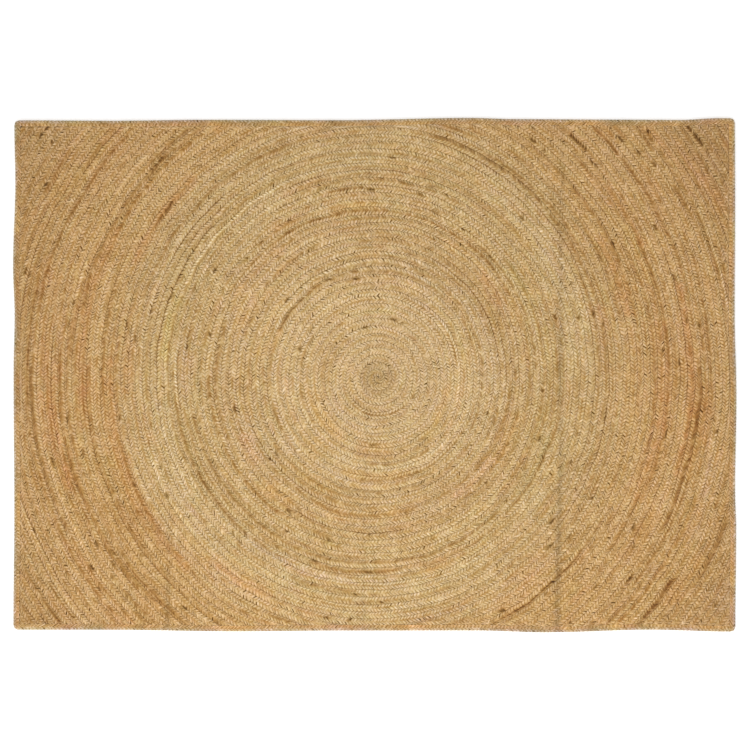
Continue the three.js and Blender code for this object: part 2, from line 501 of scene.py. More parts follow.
class Course(Protocol):
    """A line that a braid follows on the floor."""

    closed: bool

    def room(self, along: Array) -> Array:
        """The furthest place across the braid that still lies on the rug."""

    def place(self, along: Array, across: Array) -> tuple[Array, Array]:
        """The x and y of points on the braid."""

    def colours(self, along: Array, across: Array) -> dict[str, Array]:
        """The strands' changes of colour at points on the braid, in logarithms, and their contrast."""


@dataclass(frozen=True)
class Winding:
    """The spiral of the field braid, anticlockwise from the middle.

    The radius grows by one pitch a turn, so the length wound up to a turn t is
    pi * pitch * ((t + 1/2)^2 - 1/4). The middle of the turns drifts as they grow, and they are
    slightly taller than they are wide.
    """

    edge: EdgeWaves
    pitch: float = BRAID_PITCH
    start_x: float = 7.5 * MM
    start_y: float = -6 * MM
    outer_x: float = -10 * MM
    outer_y: float = 2 * MM
    drift_from: float = 130 * MM
    drift_to: float = 470 * MM
    stretch: float = 1.015
    wander: float = 1.1 * MM
    ripple: float = 0.4 * MM
    calm_edge: float = 45 * MM
    strands: StrandColours = StrandColours()
    closed: bool = False

    def turn(self, along: Array) -> Array:
        """The turn reached at a length along the braid, by solving the formula of the length for it."""
        return np.sqrt(along / (np.pi * self.pitch) + 0.25) - 0.5

    def length_to(self, turn: float) -> float:
        """The length of braid up to a turn."""
        return math.pi * self.pitch * ((turn + 0.5) ** 2 - 0.25)

    def room(self, along: Array) -> Array:
        """The furthest place across the braid that lies inside the cut edge.

        Args:
            along: Lengths along the braid.

        Returns:
            The radius of the cut edge in that direction less the braid's own, in half pitches.
        """
        turn = self.turn(along)
        ray_x = np.cos(2 * np.pi * turn) / self.stretch
        ray_y = np.sin(2 * np.pi * turn) * self.stretch
        to_side = (CUT_X - np.sign(ray_x) * self.outer_x) / np.maximum(np.abs(ray_x), NEARLY_NONE)
        to_end = (CUT_Y - np.sign(ray_y) * self.outer_y) / np.maximum(np.abs(ray_y), NEARLY_NONE)
        return (np.minimum(to_side, to_end) - self.pitch * (turn + 0.5)) / (self.pitch / 2)

    def place(self, along: Array, across: Array) -> tuple[Array, Array]:
        """Points of the spiral, wandering a little, and bowed with the rug's edges.

        Args:
            along: Lengths along the braid.
            across: Places across it.

        Returns:
            The x and y of each point.
        """
        turn = self.turn(along)
        radius = self.pitch * (turn + 0.5 + across / 2)
        drift = smoothstep((radius - self.drift_from) / (self.drift_to - self.drift_from))
        x = self.start_x + (self.outer_x - self.start_x) * drift
        x = x + radius / self.stretch * np.cos(2 * np.pi * turn)
        y = self.start_y + (self.outer_y - self.start_y) * drift
        y = y + radius * self.stretch * np.sin(2 * np.pi * turn)
        away = np.minimum(CUT_X - np.abs(x), CUT_Y - np.abs(y))
        loose = self.wander * smoothstep(away / self.calm_edge) * smoothstep(radius / self.drift_from)
        ripple = self.ripple / self.wander
        shift_x, shift_y = (
            LongWaves(seed=11 + way, shortest=70 * MM, longest=420 * MM).at(x, y)
            + LongWaves(seed=13 + way, shortest=15 * MM, longest=50 * MM).at(x, y) * ripple
            for way in (0, 1)
        )
        return self.edge.bow(x + shift_x * loose, y + shift_y * loose)

    def colours(self, along: Array, across: Array) -> dict[str, Array]:
        """The strands' colours, which follow the turns."""
        turn = self.turn(along)
        return self.strands.at(turn.min(axis=1), turn + 0.5 + across / 2)

    def stretches(
        self, first: float, last: float, narrowest: float = -0.97,
    ) -> list[tuple[float, float]]:
        """The stretches of the spiral between two turns that lie on the rug.

        Args:
            first: The turn to start from.
            last: The turn to end at.
            narrowest: The room across at which a cut end is given up.

        Returns:
            The start and end of each stretch, as lengths along the braid.
        """
        reach = self.length_to(last) - self.length_to(first)
        along = np.linspace(self.length_to(first), self.length_to(last), math.ceil(reach / MM) + 1)
        inside = np.concatenate([[False], self.room(along) > narrowest, [False]])
        changes = np.flatnonzero(np.diff(inside.astype(int)))
        return [(along[a], along[b - 1]) for a, b in zip(changes[::2], changes[1::2])]


@dataclass(frozen=True)
class WindingHeart:
    """The first turn of the winding, which curls out of the middle at less than its full width.

    With t the share of the turn, its outer side lies at a radius of t pitches and its inner side
    stays at the middle, so the length along its middle line is pi * pitch * t^2 / 2.
    """

    winding: Winding
    middle: float = 0.25 * MM
    closed: bool = False

    def room(self, along: Array) -> Array:
        """The heart is squeezed and not cut, so its whole section is kept."""
        return np.ones_like(along)

    def length(self, share: float) -> float:
        """The length up to a share of the turn."""
        return math.pi * self.winding.pitch * share**2 / 2

    def place(self, along: Array, across: Array) -> tuple[Array, Array]:
        """Points of the curl.

        Args:
            along: Lengths along it.
            across: Places across it.

        Returns:
            The x and y of each point.
        """
        share = np.sqrt(2 * along / (np.pi * self.winding.pitch))
        radius = self.middle + (self.winding.pitch * share - self.middle) * (across + 1) / 2
        x = self.winding.start_x + radius / self.winding.stretch * np.cos(2 * np.pi * share)
        y = self.winding.start_y + radius * self.winding.stretch * np.sin(2 * np.pi * share)
        return x, y

    def colours(self, along: Array, across: Array) -> dict[str, Array]:
        """The colours of the innermost band."""
        band = self.winding.strands.bands[0]
        return {key: np.full_like(along, value) for key, value in zip(COLOUR_KEYS, band[1:])}


@dataclass(frozen=True)
class EdgeCourse:
    """The line of the binding braid, anticlockwise round the rug from its lower left corner.

    Across is -1 at the braid's inner side and 1 at the rug's edge. Each inset has its own corner
    radius. Light, warm and blue are its changes of colour at the places across it, and the darkening
    of light over the rounded outer rim, from 0.6 outwards, is painted shade.
    """

    edge: EdgeWaves
    places: tuple[float, ...] = (-1.0, -0.5, -0.1, 0.25, 0.6, 0.88, 0.98)
    # Light falls over the rounded outer rim, from 0.6 out, as painted shade.
    light: tuple[float, ...] = (-0.23, -0.36, -0.26, -0.06, -0.28, -0.34, -0.42)
    warm: tuple[float, ...] = (0.17, 0.18, 0.10, 0.01, -0.03, -0.02, 0.06)
    blue: tuple[float, ...] = (-0.26, -0.25, -0.05, 0.16, 0.15, 0.08, -0.15)
    contrast_places: tuple[float, float] = (0.6, 1.0)
    contrast: tuple[float, float] = (1.3, 0.6)
    knots: int = 200
    knot_gaps: tuple[float, float] = (15 * MM, 70 * MM)
    uneven: tuple[float, float, float] = (0.08, 0.035, 0.08)
    corner_run: float = 13 * MM
    seed: int = 5
    closed: bool = True

    def length(self) -> float:
        """The length once round, along the middle of the braid."""
        return 2 * (LENGTH + WIDTH - 4 * CORNER_RADIUS) + 4 * self.corner_run

    def room(self, along: Array) -> Array:
        """The binding is whole all round, so there is room for its full width."""
        return np.ones_like(along)

    def place(self, along: Array, across: Array) -> tuple[Array, Array]:
        """Points of the binding braid, bowed with the rug's edges.

        Args:
            along: Lengths along the braid.
            across: Places across it.

        Returns:
            The x and y of each point.
        """
        inset = BINDING_WIDTH * (1 - across) / 2
        radius = np.maximum(CORNER_RADIUS - inset, TIGHTEST_CORNER)
        straights = np.array([LENGTH, WIDTH, LENGTH, WIDTH]) - 2 * CORNER_RADIUS
        starts = np.concatenate([[0.0], np.cumsum(straights + self.corner_run)])
        wrapped = np.mod(along, starts[-1])
        quarter = np.clip(np.searchsorted(starts, wrapped, side="right") - 1, 0, 3)
        run = wrapped - starts[quarter]
        straight = straights[quarter]
        half_along = np.array([LENGTH, WIDTH, LENGTH, WIDTH])[quarter] / 2 - inset - radius
        half_out = np.array([WIDTH, LENGTH, WIDTH, LENGTH])[quarter] / 2 - inset - radius
        bend = np.clip((run - straight) / self.corner_run, 0, 1) * np.pi / 2
        share = np.clip(run / straight, 0, 1)
        side_x = half_along * (2 * share - 1) + radius * np.sin(bend)
        side_y = -half_out - radius * np.cos(bend)
        cosine = np.array([1, 0, -1, 0])[quarter]
        sine = np.array([0, 1, 0, -1])[quarter]
        return self.edge.bow(side_x * cosine - side_y * sine, side_x * sine + side_y * cosine)

    def colours(self, along: Array, across: Array) -> dict[str, Array]:
        """The binding's colours: by the place across it, plus slopes between seeded places along it.

        Args:
            along: Lengths along the braid.
            across: Places across it.

        Returns:
            The logarithms of the changes, light, warm and blue, and the strands' contrast, which
            falls towards the rug's edge.
        """
        rng = np.random.default_rng(self.seed)
        knots = np.cumsum(rng.uniform(*self.knot_gaps, self.knots))
        rows = rng.normal(0, 1, (3, self.knots)) * np.array(self.uneven)[:, None]
        wrapped = np.mod(along, self.length())
        found = {
            key: np.interp(wrapped, knots, row) + np.interp(across, self.places, getattr(self, key))
            for key, row in zip(COLOUR_KEYS, rows)
        }
        found["contrast"] = np.interp(across, self.contrast_places, self.contrast)
        return found


@dataclass(frozen=True)
class BraidLine:
    """One line along a braid: its place across, and the heights of strands and of dips between them.

    A dip may draw in towards the middle, and the line may sink where a seam stands open. Its shade
    is painted shade, a darkening of its colour, as on the seams between turns and the braid's middle.
    """

    across: float
    top: float
    dip: float
    draw: float = 0.0
    seam: float = 0.0
    shade: float = 0.0


@dataclass(frozen=True)
class BraidForm:
    """The section of a flat braid of three strands, and how its strands lie.

    Strands show as two rows of humps, half a step apart, that lean back from the middle to both
    sides. The outer lines may lie a little past 1, so that the turns press into each other and no
    slit is left between them. Foot and weave are shares of the half width, and lean, uneven step and
    nudge are shares of a step.
    """

    lines: tuple[BraidLine, ...]
    half_width: float
    foot: float
    step: float
    lean: float
    weave: float
    roundness: float = 0.75
    uneven_height: float = 0.12
    gain_bounds: tuple[float, float] = (-0.40, 0.16)
    uneven_dip: float = 0.40
    uneven_step: float = 0.18
    furthest_nudge: float = 0.4
    deepest: float = 3 * MM
    swell: float = 0.035
    pits: float = 0.015
    pit_depth: float = 0.8
    pit_run: int = 11
    # The painted shade of the lines changes at random from step to step by the dimness, is stronger in
    # the dips and weaker on the humps, and a dip as deep as the deepest one gets it in full.
    dimness: tuple[float, float] = (0.1, 1.5)
    dip_shade: float = 1.3
    hump_light: float = 0.8
    square_end: int = 6
    narrowest: float = -0.96
    row_apart: float = 400.0
    foot_beyond: float = 6 * MM
    end_grain: float = 8 * MM
    end_tone: float = 0.4


# The seams and the middle line have painted shade.
FIELD_BRAID = BraidForm(
    lines=(
        BraidLine(-1.03, 8.0 * MM, 8.0 * MM, seam=1.6 * MM, shade=1.0),
        BraidLine(-0.73, 9.0 * MM, 6.4 * MM, seam=0.2 * MM),
        BraidLine(-0.40, 9.2 * MM, 6.4 * MM),
        BraidLine(0.00, 7.8 * MM, 7.8 * MM, shade=0.9),
        BraidLine(0.40, 9.2 * MM, 6.4 * MM),
        BraidLine(0.73, 9.0 * MM, 6.4 * MM, seam=0.2 * MM),
        BraidLine(1.03, 8.0 * MM, 8.0 * MM, seam=1.6 * MM, shade=1.0),
    ),
    half_width=BRAID_PITCH / 2,
    foot=0.86,
    step=8.0 * MM,
    lean=0.75,
    weave=0.17,
)

# The binding's middle line has painted shade.
BINDING_BRAID = BraidForm(
    lines=(
        BraidLine(-1.06, 8.5 * MM, 8.2 * MM),
        BraidLine(-0.84, 8.9 * MM, 7.2 * MM),
        BraidLine(-0.56, 9.3 * MM, 6.8 * MM),
        BraidLine(-0.28, 9.3 * MM, 7.0 * MM),
        BraidLine(0.00, 8.0 * MM, 8.0 * MM, shade=0.7),
        BraidLine(0.34, 9.4 * MM, 7.0 * MM),
        BraidLine(0.72, 8.4 * MM, 6.4 * MM, 0.2 * MM),
        BraidLine(0.96, 5.8 * MM, 4.8 * MM, 0.6 * MM),
        BraidLine(1.00, 2.6 * MM, 2.4 * MM, 0.5 * MM),
    ),
    half_width=BINDING_WIDTH / 2,
    foot=0.8,
    step=8.4 * MM,
    lean=0.7,
    weave=0.12,
)


class FaceKind(Enum):
    """Where a face of the braid's skin lies."""

    TOP = 0
    WALL = 1
    UNDERSIDE = 2
    END = 3


@dataclass(frozen=True)
class SkinPattern:
    """The faces of one step of a braid: its stations along, its lines across, and two foot lines.

    Corners are (station, line). Line -1 is the left foot and line `lines` the right foot, which have
    a point at the first station of a step only.
    """

    lines: int

    def faces(self) -> list[tuple[FaceKind, int, int, list[tuple[int, int]]]]:
        """Every face of a step: quads on top, five triangles on each wall, and one quad below.

        Returns:
            The faces' kinds, sides (0 left, 1 right), first stations and corners.
        """
        last = self.lines - 1
        right = self.lines
        middle = last / 2
        found = []
        for station in range(STATIONS):
            for line in range(last):
                after = station + 1
                ring = [(station, line), (station, line + 1), (after, line + 1), (after, line)]
                found.append((FaceKind.TOP, int(line >= middle), station, ring))
        walls = (
            ((0, 0), (1, 0), (0, -1)),
            ((1, 0), (2, 0), (0, -1)),
            ((2, 0), (STATIONS, -1), (0, -1)),
            ((2, 0), (3, 0), (STATIONS, -1)),
            ((3, 0), (STATIONS, 0), (STATIONS, -1)),
        )
        for ring in walls:
            station = min(corner[0] for corner in ring)
            found.append((FaceKind.WALL, 0, station, list(ring)))
            mirrored = [(at, right if line < 0 else last) for at, line in reversed(ring)]
            found.append((FaceKind.WALL, 1, station, mirrored))
        below = [(0, -1), (STATIONS, -1), (STATIONS, right), (0, right)]
        found.append((FaceKind.UNDERSIDE, 0, 0, below))
        return found


@dataclass(frozen=True)
class UnrolledMap:
    """The map that unrolls a braid into rows of steps, from left to right.

    A row shows the underside, the left wall, the top, the right wall and the cut ends, one above
    the other. Heights are shares of a row, and ends are shares of a step.
    """

    row: int = 108
    underside: tuple[float, float] = (0.03, 0.24)
    feet: tuple[float, float] = (0.27, 0.93)
    top_start: float = 0.36
    top_height: float = 0.48
    end_middle: float = 0.965
    end_half: float = 0.015
    ends: tuple[tuple[float, float], ...] = ((0.02, 0.30), (0.70, 0.98))

    def place(self, step: Array, share: Array, height: Array) -> Array:
        """Points of the map.

        Args:
            step: The whole step that each lies in.
            share: How far along that step it lies.
            height: How far up its row.

        Returns:
            The place along a row, from 0 to 1, and up the rows, one unit for each.
        """
        column = (step % self.row + share) / self.row
        return np.stack(np.broadcast_arrays(column, step // self.row + height), -1)

    def height(self, kinds: Array, line: Array, lines: int) -> Array:
        """Where in a row a corner lies, by its line.

        Args:
            kinds: The kind of each corner's face.
            line: Its line.
            lines: How many lines the braid has.

        Returns:
            A height from 0 to 1 in the row.
        """
        on_top = self.top_start + self.top_height * np.clip(line, 0, lines - 1) / (lines - 1)
        on_top = np.where(line < 0, self.feet[0], np.where(line == lines, self.feet[1], on_top))
        below = np.where(line < 0, *self.underside)
        return np.where(kinds == FaceKind.UNDERSIDE.value, below, on_top)


UNROLLED = UnrolledMap()


def keep(table: dict[str, list[Array]], **rows: Array) -> None:
    """Adds each array to the list of its name."""
    for key, row in rows.items():
        table.setdefault(key, []).append(row)


def close_rows(*tables: Array) -> None:
    """Gives the last column of each table the values of its first."""
    for table in tables:
        table[:, -1] = table[:, 0]


class BraidSkin:
    """Closed skins of lengths of braid, gathered into one mesh with its maps and attributes."""

    def __init__(self, form: BraidForm, seed: int) -> None:
        """Starts with no lengths.

        Args:
            form: The braid's section and lay.
            seed: Seed of its unevenness.
        """
        self.form = form
        self.rng = np.random.default_rng(seed)
        self.steps = 0
        self.wound = 0.0
        self.count = 0
        self.points: list[Array] = []
        self.values: dict[str, list[Array]] = {}
        self.corner_values: dict[str, list[Array]] = {}
        self.face_values: dict[str, list[Array]] = {}

    def add(
        self, course: Course, start: float, end: float, cut: tuple[bool, bool] = (True, True),
    ) -> None:
        """Adds one length of braid.

        A strand's hump rises by sin(pi * phase) to a power between the dips before and after it. The
        height at a line is the dip's height there plus the hump's share of the rise to the line's
        top, each times its own unevenness. Stations lean back from the middle to the sides, and
        stand square to the braid at a cut end. An end that is only parted from another piece is
        even, so that the two fit.

        Args:
            course: The line that the braid follows.
            start: Where along it this length starts.
            end: Where it ends.
            cut: Whether it is cut off at its start and at its end, and not only parted.
        """
        form = self.form
        steps = max(round((end - start) / form.step), 1)
        step = (end - start) / steps
        stations = STATIONS * steps + 1
        lines = len(form.lines)
        station = np.arange(stations)[:, None]
        line = np.arange(lines)[None, :]
        side = np.sign(line - (lines - 1) / 2)
        across_table = np.array([row.across for row in form.lines])
        index_table = np.arange(lines, dtype=float)

        reach = form.furthest_nudge
        nudges = self.rng.normal(0, form.uneven_step, (3, steps + 1)).clip(-reach, reach)
        dimness = self.rng.uniform(*form.dimness, (3, steps + 1))
        if course.closed:
            close_rows(nudges, dimness)
            square = np.ones_like(station, dtype=float)
        else:
            nudges[:, [0, -1]] = 0.0
            before, after = (0 if off else form.square_end for off in cut)
            from_end = np.minimum(station + before, stations - 1 - station + after)
            square = smoothstep(from_end / form.square_end)
        leaned = form.lean * np.abs(across_table) * square
        pushed = self.on_rails(nudges, stations, across_table)
        along = start + step * (station / STATIONS + leaned + pushed)
        if not course.closed and cut[1]:
            along = np.minimum(along, end)

        room = np.clip(course.room(along) * across_table[-1], form.narrowest, across_table[-1])
        kept = np.interp(room, across_table, index_table) / (lines - 1)
        at_index = line * kept
        across = np.interp(at_index, index_table, across_table)
        weave = form.weave * np.cos(np.pi * station / HALF_STEP) * square
        across = across + np.where(side == 0, weave * kept, 0.0)

        gains, drops, pits = self.unevenness(steps, course.closed)
        for at, off in zip((0, -1), cut):
            if not course.closed and not off:
                gains[:, at], drops[:, at], pits[:, at] = 1.0, 0.0, 0.0
        hump = station + np.where(side < 0, HALF_STEP, 0)
        which = np.minimum(hump // STATIONS, steps)
        rank = (side > 0).astype(int)
        phase = (hump % STATIONS) / STATIONS
        rise = np.where(side == 0, 1.0, np.sin(np.pi * phase) ** form.roundness)
        top, dip, draw, seam, shade = (
            np.interp(at_index, index_table, [getattr(row, key) for row in form.lines])
            for key in ("top", "dip", "draw", "seam", "shade")
        )
        in_dip = rise < 0.5
        pit = np.where(in_dip, pits[rank, which], 0.0)
        sunk = np.where(in_dip, drops[rank, which], 0.0) + form.pit_depth * pit
        height = dip + (top - dip) * (gains[rank, which] * rise - sunk * (1 - rise))
        across = across - draw * (1 - rise) / form.half_width

        x, y = course.place(along, across)
        fold = FOLDS.depth(x, y)
        height = height * (1 + form.swell * SWELL.at(x, y)) - seam * SEAMS.share(x, y)
        height = height - fold * height / CREST_HEIGHT
        foot_across = np.clip(across[::STATIONS, [0, -1]], -form.foot, form.foot)
        foot_x, foot_y = course.place(along[::STATIONS, [0, -1]], foot_across)
        body = np.stack([x, y, height], -1)
        feet = np.stack([foot_x, foot_y, np.zeros_like(foot_x)], -1)

        # Painted shade: the lines that have a shade, dimmed at random and strongest at the dips, and
        # every dip by its depth.
        lit = np.where(side == 0, 1.0, form.dip_shade - form.hump_light * rise)
        shade = shade * self.on_rails(dimness, stations, across_table) * lit
        painted_groove_shade = np.maximum(shade, (1 - rise) * (top - dip) / form.deepest)
        # The fold share sets painted shade along the fold creases.
        values = {"painted_groove_shade": painted_groove_shade, "pit": pit, "fold_shade_share": fold / FOLDS.deepest}
        values.update(course.colours(along, across))
        self.store(course.closed, body, feet, values)
        self.lay_faces(course.closed, steps, step, along, across)
        self.steps += steps
        self.wound += end - start

    def on_rails(self, rails: Array, stations: int, across: Array) -> Array:
        """Values that run along a braid's left edge, its middle and its right edge.

        Args:
            rails: A row for each rail, with one value a step.
            stations: How many stations the length has.
            across: The places of its lines.

        Returns:
            A value for each station and line, by straight slopes between the steps and the rails.
        """
        steps = np.arange(rails.shape[1])
        at = np.arange(stations) / STATIONS
        left, middle, right = (np.interp(at, steps, rail)[:, None] for rail in rails)
        out = np.abs(across)[None, :]
        return middle * (1 - out) + np.where(across < 0, left, right) * out

    def unevenness(self, steps: int, closed: bool) -> tuple[Array, Array, Array]:
        """Random changes of each hump and dip, for the left row and the right.

        Pits are likelier in some runs of steps than in others, by the exponential of a slope
        between random values.

        Args:
            steps: How many steps the length has.
            closed: Whether its end meets its start.

        Returns:
            The gain of each hump's height, the drop of each dip, and which dips are open pits.
        """
        form = self.form
        size = (2, steps + 1)
        gains = 1 + self.rng.normal(0, form.uneven_height, size).clip(*form.gain_bounds)
        drops = self.rng.uniform(-form.uneven_dip, form.uneven_dip, size)
        knots = np.arange(0, steps + form.pit_run + 1, form.pit_run)
        slow = np.interp(np.arange(steps + 1), knots, self.rng.normal(0, 1, len(knots)))
        pits = (self.rng.uniform(0, 1, size) < form.pits * np.exp(slow)).astype(float)
        if closed:
            close_rows(gains, drops, pits)
        return gains, drops, pits

    def store(self, closed: bool, body: Array, feet: Array, values: dict[str, Array]) -> None:
        """Keeps a length's points and their values. A foot point takes the values of the edge above.

        Args:
            closed: Whether the length is closed, so that its last station is its first again.
            body: The points of the upper side.
            feet: The points of the two foot lines.
            values: The upper side's values, by name.
        """
        kept = slice(0, -1) if closed else slice(None)
        self.points += [body[kept].reshape(-1, 3), feet[kept].reshape(-1, 3)]
        for key, table in values.items():
            at_feet = table[::STATIONS, [0, -1]][kept]
            self.values.setdefault(key, []).extend([table[kept].ravel(), at_feet.ravel()])

    def lay_faces(self, closed: bool, steps: int, step: float, along: Array, across: Array) -> None:
        """Adds the faces of one length, with their maps.

        The map `run` is the way along and across the braid. The map `lay` is the way along the
        braid, counted for each row of strands on its own, and the way out from its middle. The map
        `bake` unrolls the braid.

        Args:
            closed: Whether the length's end meets its start.
            steps: How many steps it has.
            step: The length of one.
            along: The points' ways along, station by station and line by line.
            across: Their places across.
        """
        form = self.form
        lines = len(form.lines)
        faces = SkinPattern(lines).faces()
        kinds, sides, firsts, sizes = np.array(
            [(kind.value, side, first, len(ring)) for kind, side, first, ring in faces]
        ).T
        offsets, corner_lines = np.array([corner for *_, ring in faces for corner in ring]).T
        corner_face = np.repeat(np.arange(len(faces)), sizes)

        unit = np.arange(steps)[:, None]
        station = STATIONS * unit + offsets
        line = np.broadcast_to(corner_lines, station.shape)
        is_foot = (line < 0) | (line == lines)
        held = np.clip(line, 0, lines - 1)
        body_stations = STATIONS * steps + (0 if closed else 1)
        foot_stations = steps + (0 if closed else 1)
        on_body = (station % body_stations) * lines + held
        on_foot = 2 * ((station // STATIONS) % foot_stations) + (line == lines)
        vertex = np.where(is_foot, body_stations * lines + on_foot, on_body)

        on_left = sides[corner_face] == 0
        row_way = (station / STATIONS + np.where(on_left, 0.5, 0.0)) * step
        row_way = row_way + self.wound + np.where(on_left, form.row_apart, 0.0)
        beyond = np.where(is_foot, form.foot_beyond, 0.0)
        out = across[station, held] * form.half_width
        lay = np.stack([row_way, np.abs(out) + beyond], -1)
        run = np.stack([along[station, held], out + np.sign(out) * beyond], -1)
        height = UNROLLED.height(kinds[corner_face], line, lines)
        bake = UNROLLED.place(self.steps + unit, offsets / STATIONS, height)

        hump = unit + np.where(sides == 0, (firsts + HALF_STEP) // STATIONS, 0)
        tones = self.rng.uniform(0, 1, (2, steps + 1))
        if closed:
            close_rows(tones)
        strand = (2 * hump + 2 * (sides == 0)) % STRANDS
        keep(
            self.corner_values, vertex=(vertex + self.count).ravel(), lay=lay.reshape(-1, 2),
            run=run.reshape(-1, 2), bake=bake.reshape(-1, 2),
        )
        keep(
            self.face_values, size=np.tile(sizes, steps), kind=np.tile(kinds, steps),
            tone=tones[sides, hump].ravel(), strand=strand.ravel(),
        )
        if not closed:
            self.close_ends(steps, along, across)
        self.count += body_stations * lines + 2 * foot_stations

    def close_ends(self, steps: int, along: Array, across: Array) -> None:
        """Closes the two cut ends of a length with one face each.

        Args:
            steps: How many steps the length has.
            along: The points' ways along.
            across: Their places across.
        """
        form = self.form
        lines = len(form.lines)
        final = STATIONS * steps
        foot = (final + 1) * lines
        last_foot = foot + 2 * steps
        first = np.concatenate([[foot, foot + 1], np.arange(lines - 1, -1, -1)])
        last = np.concatenate([final * lines + np.arange(lines), [last_foot + 1, last_foot]])
        size = len(first)
        rise = UNROLLED.end_middle + UNROLLED.end_half * np.sin(np.linspace(0, 2 * np.pi, size))
        for ring, station, unit, ends in zip(
            (first, last), (0, final), (self.steps, self.steps + steps - 1), UNROLLED.ends,
        ):
            way = np.linspace(*ends, size)
            half = across[station, 0] * form.half_width
            keep(
                self.corner_values, vertex=ring + self.count,
                lay=np.stack([np.linspace(0, form.end_grain, size), np.full(size, half)], -1),
                run=np.stack([np.full(size, along[station, 0]), way * form.half_width], -1),
                bake=UNROLLED.place(unit, way, rise),
            )
            keep(
                self.face_values, size=np.array([size]), kind=np.array([FaceKind.END.value]),
                tone=np.array([form.end_tone]), strand=np.array([0]),
            )

    def mesh(self, name: str) -> bpy.types.Mesh:
        """Makes the mesh of all lengths.

        Args:
            name: The mesh's name.

        Returns:
            A mesh with UV maps lay, run and the unrolled one. Its points have the painted shade of the
            grooves, whether they lie in a pit, the share of painted shade along the fold creases and the
            changes of colour, and its faces have tone, strand and below.
        """
        points = np.concatenate(self.points)
        corners, faces, values = (
            {key: np.concatenate(rows) for key, rows in table.items()}
            for table in (self.corner_values, self.face_values, self.values)
        )
        starts = np.concatenate([[0], np.cumsum(faces["size"])[:-1]])
        mesh = bpy.data.meshes.new(name)
        mesh.vertices.add(len(points))
        mesh.vertices.foreach_set("co", points.astype(np.float32).ravel())
        mesh.loops.add(len(corners["vertex"]))
        mesh.loops.foreach_set("vertex_index", corners["vertex"].astype(np.int32))
        mesh.polygons.add(len(starts))
        mesh.polygons.foreach_set("loop_start", starts.astype(np.int32))
        mesh.polygons.foreach_set("use_smooth", faces["kind"] == FaceKind.TOP.value)
        mesh.update(calc_edges=True)
        corners["bake"][:, 1] /= math.ceil(self.steps / UNROLLED.row)
        for layer, key in (("OFBake", "bake"), ("lay", "lay"), ("run", "run")):
            uv = mesh.uv_layers.new(name=layer, do_init=False)
            uv.uv.foreach_set("vector", corners[key].astype(np.float32).ravel())
        faces["below"] = faces["kind"] == FaceKind.UNDERSIDE.value
        tables = [("POINT", key, table) for key, table in values.items()]
        tables += [("FACE", key, faces[key]) for key in ("tone", "strand", "below")]
        for domain, key, table in tables:
            attribute = mesh.attributes.new(key, "FLOAT", domain)
            attribute.data.foreach_set("value", table.astype(np.float32))
        if mesh.validate(verbose=False):
            LOG.warning("%s: the mesh needed repair", name)
        return mesh


Socket = bpy.types.NodeSocket
Value = Socket | float | tuple


class NodeSheet:
    """Places shader nodes in one node tree, and links them."""

    def __init__(self, tree: bpy.types.NodeTree) -> None:
        """Takes the tree to fill."""
        self.tree = tree

    def node(
        self, kind: str, inputs: dict[str | int, Value] | None = None, **settings: object,
    ) -> bpy.types.Node:
        """Adds a node.

        Args:
            kind: Its type.
            inputs: Values or links for its inputs, by name or number.
            **settings: Its properties.

        Returns:
            The node.
        """
        node = self.tree.nodes.new(kind)
        for key, value in settings.items():
            setattr(node, key, value)
        for key, value in (inputs or {}).items():
            self.feed(node.inputs[key], value)
        return node

    def feed(self, socket: Socket, value: Value) -> None:
        """Links a socket to another, or sets its value."""
        if isinstance(value, bpy.types.NodeSocket):
            self.tree.links.new(value, socket)
        else:
            socket.default_value = value

    def math(self, operation: str, a: Value, b: Value = 0.0) -> Socket:
        """One step of arithmetic on numbers."""
        return self.node("ShaderNodeMath", {0: a, 1: b}, operation=operation).outputs[0]

    def split(self, a: Socket) -> tuple[Socket, Socket, Socket]:
        """The three numbers of a vector."""
        outputs = self.node("ShaderNodeSeparateXYZ", {0: a}).outputs
        return outputs[0], outputs[1], outputs[2]

    def joined(self, x: Value, y: Value, z: Value = 0.0) -> Socket:
        """A vector of three numbers."""
        return self.node("ShaderNodeCombineXYZ", {0: x, 1: y, 2: z}).outputs[0]

    def noise(self, at: Socket, detail: float = 0.0) -> Socket:
        """Smooth noise that is 0 on average and mostly lies between -1 and 1.

        Args:
            at: Where it is read. One unit is about one patch.
            detail: How many finer layers it has.

        Returns:
            The noise's value.
        """
        inputs = {"Vector": at, "Scale": 1.0, "Detail": detail}
        node = self.node("ShaderNodeTexNoise", inputs, noise_dimensions="3D")
        return self.math("MULTIPLY", self.math("SUBTRACT", node.outputs[0], 0.5), 4.0)

    def fade(self, value: Value, end: float) -> Socket:
        """A smooth step of a value down from 1 at 0 to 0 at its end."""
        inputs = {0: value, 1: 0.0, 2: end, 3: 1.0, 4: 0.0}
        return self.node("ShaderNodeMapRange", inputs, interpolation_type="SMOOTHSTEP").outputs[0]

    def total(self, *terms: Value | tuple[Value, Value]) -> Socket:
        """The sum of some numbers, where a pair stands for its product."""
        parts = [self.math("MULTIPLY", *term) if isinstance(term, tuple) else term for term in terms]
        found = parts[0]
        for part in parts[1:]:
            found = self.math("ADD", found, part)
        return found

    def group(self, tree: bpy.types.NodeTree, inputs: dict[str, Value]) -> bpy.types.Node:
        """Adds a node group."""
        node = self.tree.nodes.new("ShaderNodeGroup")
        node.node_tree = tree
        for key, value in inputs.items():
            self.feed(node.inputs[key], value)
        return node


